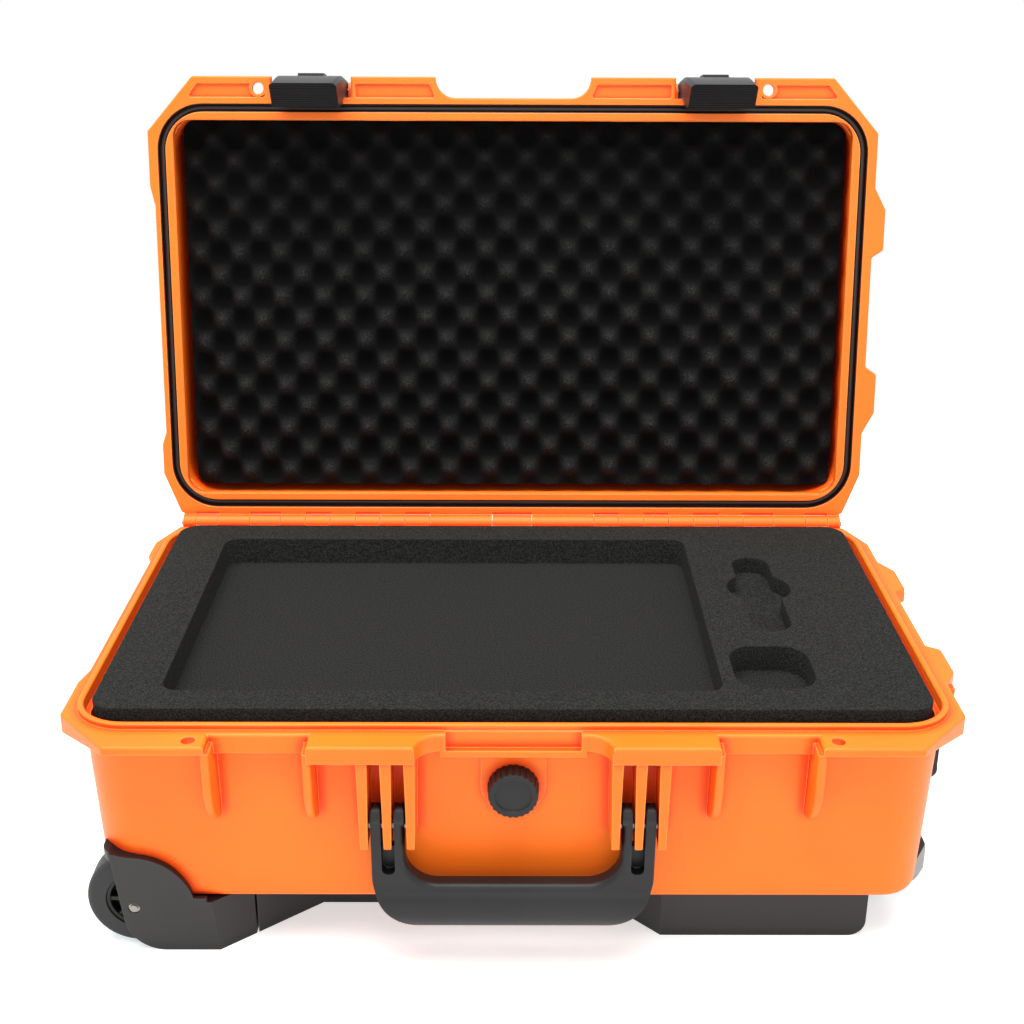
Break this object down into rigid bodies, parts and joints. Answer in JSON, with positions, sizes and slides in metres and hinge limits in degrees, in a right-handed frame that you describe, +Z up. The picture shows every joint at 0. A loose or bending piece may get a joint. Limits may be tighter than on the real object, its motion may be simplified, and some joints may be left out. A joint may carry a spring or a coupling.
{
  "type": "laptop hard case",
  "caption": "Open orange rolling hard case with foam cut for a laptop, black latches and handles, wheels and a pull-out trolley.",
  "frame": {"origin": "on the floor under the middle of the base, at the flat underside", "axes": "+X to the right end with the pull-out trolley, +Y to the hinge at the back, +Z up"},
  "size_m": [0.5536, 0.4456, 0.4963],
  "materials": {
    "orange_shell": "fine moulded grain",
    "black_plastic": "satin",
    "grey_plastic": "satin",
    "foam": "open cell",
    "gasket": "soft",
    "tyre": "matte",
    "tube_alloy": "drawn",
    "steel": "plain"
  },
  "bodies": {
    "base": {"base_shell": "orange_shell", "base_foam_block": "foam", "laptop_foam_insert": "foam", "hinge_pin": "steel", "front_handle_pins": "steel", "side_handle_pins": "steel", "purge_valve_body": "black_plastic", "purge_valve_nut": "black_plastic", "wheel_housing_front": "black_plastic", "wheel_housing_rear": "black_plastic", "wheel_axle_front": "steel", "wheel_axle_rear": "steel", "trolley_housing": "black_plastic", "trolley_housing_screws": "steel", "wheel_housing_screws": "steel", "trolley_outer_tubes": "tube_alloy"},
    "lid": {"lid_shell": "orange_shell", "lid_gasket": "gasket", "lid_foam": "foam", "latch_pin_right": "steel", "latch_pin_left": "steel"},
    "latch_right": {"latch_right": "black_plastic"},
    "latch_left": {"latch_left": "black_plastic"},
    "front_handle": {"front_handle": "black_plastic"},
    "side_handle": {"side_handle": "black_plastic"},
    "purge_knob": {"purge_knob": "black_plastic"},
    "wheel_front": {"wheel_hub_front": "black_plastic", "wheel_tyre_front": "tyre", "wheel_bearings_front": "steel"},
    "wheel_rear": {"wheel_hub_rear": "black_plastic", "wheel_tyre_rear": "tyre", "wheel_bearings_rear": "steel"},
    "trolley_middle_stage": {"trolley_middle_tubes": "tube_alloy"},
    "trolley_inner_stage": {"trolley_inner_tubes": "tube_alloy", "trolley_grip": "black_plastic", "trolley_grip_shell": "grey_plastic"},
    "trolley_button": {"trolley_button": "black_plastic"}
  },
  "joints": [
    {"name": "lid_hinge", "type": "hinge", "parent": "base", "child": "lid", "pos_m": [0, 0.165, 0.162], "axis": [1, 0, 0], "range_deg": [0, 99.6]},
    {"name": "latch_right_swing", "type": "hinge", "parent": "lid", "child": "latch_right", "pos_m": [0.1492, 0.24041, 0.4819], "axis": [-1, 0, 0], "range_deg": [0, 95]},
    {"name": "latch_left_swing", "type": "hinge", "parent": "lid", "child": "latch_left", "pos_m": [-0.1492, 0.24041, 0.4819], "axis": [-1, 0, 0], "range_deg": [0, 95]},
    {"name": "front_handle_swing", "type": "hinge", "parent": "base", "child": "front_handle", "pos_m": [0, -0.163, 0.104], "axis": [-1, 0, 0], "range_deg": [0, 90]},
    {"name": "side_handle_swing", "type": "hinge", "parent": "base", "child": "side_handle", "pos_m": [0.268, 0, 0.129], "axis": [0, -1, 0], "range_deg": [0, 90]},
    {"name": "purge_knob_turn", "type": "hinge", "parent": "base", "child": "purge_knob", "pos_m": [0, -0.149, 0.122], "axis": [0, -1, 0], "range_deg": [0, 270]},
    {"name": "wheel_front_spin", "type": "hinge", "parent": "base", "child": "wheel_front", "pos_m": [-0.235, -0.13, 0.033], "axis": [0, 1, 0], "continuous": true},
    {"name": "wheel_rear_spin", "type": "hinge", "parent": "base", "child": "wheel_rear", "pos_m": [-0.235, 0.13, 0.033], "axis": [0, 1, 0], "continuous": true},
    {"name": "trolley_stage_1", "type": "slide", "parent": "base", "child": "trolley_middle_stage", "axis": [1, 0, 0], "range_m": [0, 0.28]},
    {"name": "trolley_stage_2", "type": "slide", "parent": "trolley_middle_stage", "child": "trolley_inner_stage", "axis": [1, 0, 0], "range_m": [0, 0.28]},
    {"name": "trolley_button_press", "type": "slide", "parent": "trolley_inner_stage", "child": "trolley_button", "axis": [-1, 0, 0], "range_m": [0, 0.003], "stiffness_N_per_m": 600, "springref_m": -0.002}
  ]
}
